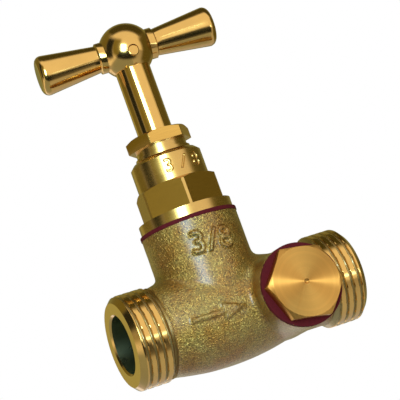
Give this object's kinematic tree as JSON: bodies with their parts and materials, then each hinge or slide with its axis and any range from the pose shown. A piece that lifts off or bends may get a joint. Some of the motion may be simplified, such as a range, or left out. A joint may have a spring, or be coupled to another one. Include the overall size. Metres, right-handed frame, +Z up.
{
  "type": "shut-off valve",
  "caption": "Brass screw-down shut-off valve with male threaded pipe ends, a hexagon bonnet and gland, a tee handle and a hexagon drain plug on the outlet side.",
  "frame": {"origin": "centre of the inlet end face on the pipe axis", "axes": "+X along the pipe axis with the flow, towards the outlet; +Z up the spindle; the drain plug looks along -Y"},
  "size_m": [0.0546, 0.031, 0.08],
  "materials": {
    "cast_brass": "sand-cast, grainy",
    "turned_brass": "turned and polished",
    "fibre": "pressed red fibre",
    "rubber": "black rubber",
    "packing": "greased packing"
  },
  "bodies": {
    "valve": {"body": "cast_brass", "bonnet": "turned_brass", "bonnet_washer": "fibre", "gland_screw": "turned_brass", "gland_packing": "packing", "drain_plug": "turned_brass", "plug_washer": "fibre"},
    "jumper": {"jumper": "turned_brass", "jumper_washer": "rubber", "jumper_nut": "turned_brass"},
    "spindle": {"spindle": "turned_brass", "tee_handle": "turned_brass", "handle_pin": "turned_brass"}
  },
  "joints": [
    {"name": "jumper_lift", "type": "slide", "parent": "valve", "child": "jumper", "axis": [0, 0, 1], "range_m": [0, 0.005]},
    {"name": "spindle_turn", "type": "hinge", "parent": "jumper", "child": "spindle", "pos_m": [0.0234, 0, 0.05], "axis": [0, 0, 1], "range_deg": [0, 900]}
  ],
  "couplings": [
    {"joint": "spindle_turn", "follows": "jumper_lift", "rad_per_m": 3141.6}
  ]
}
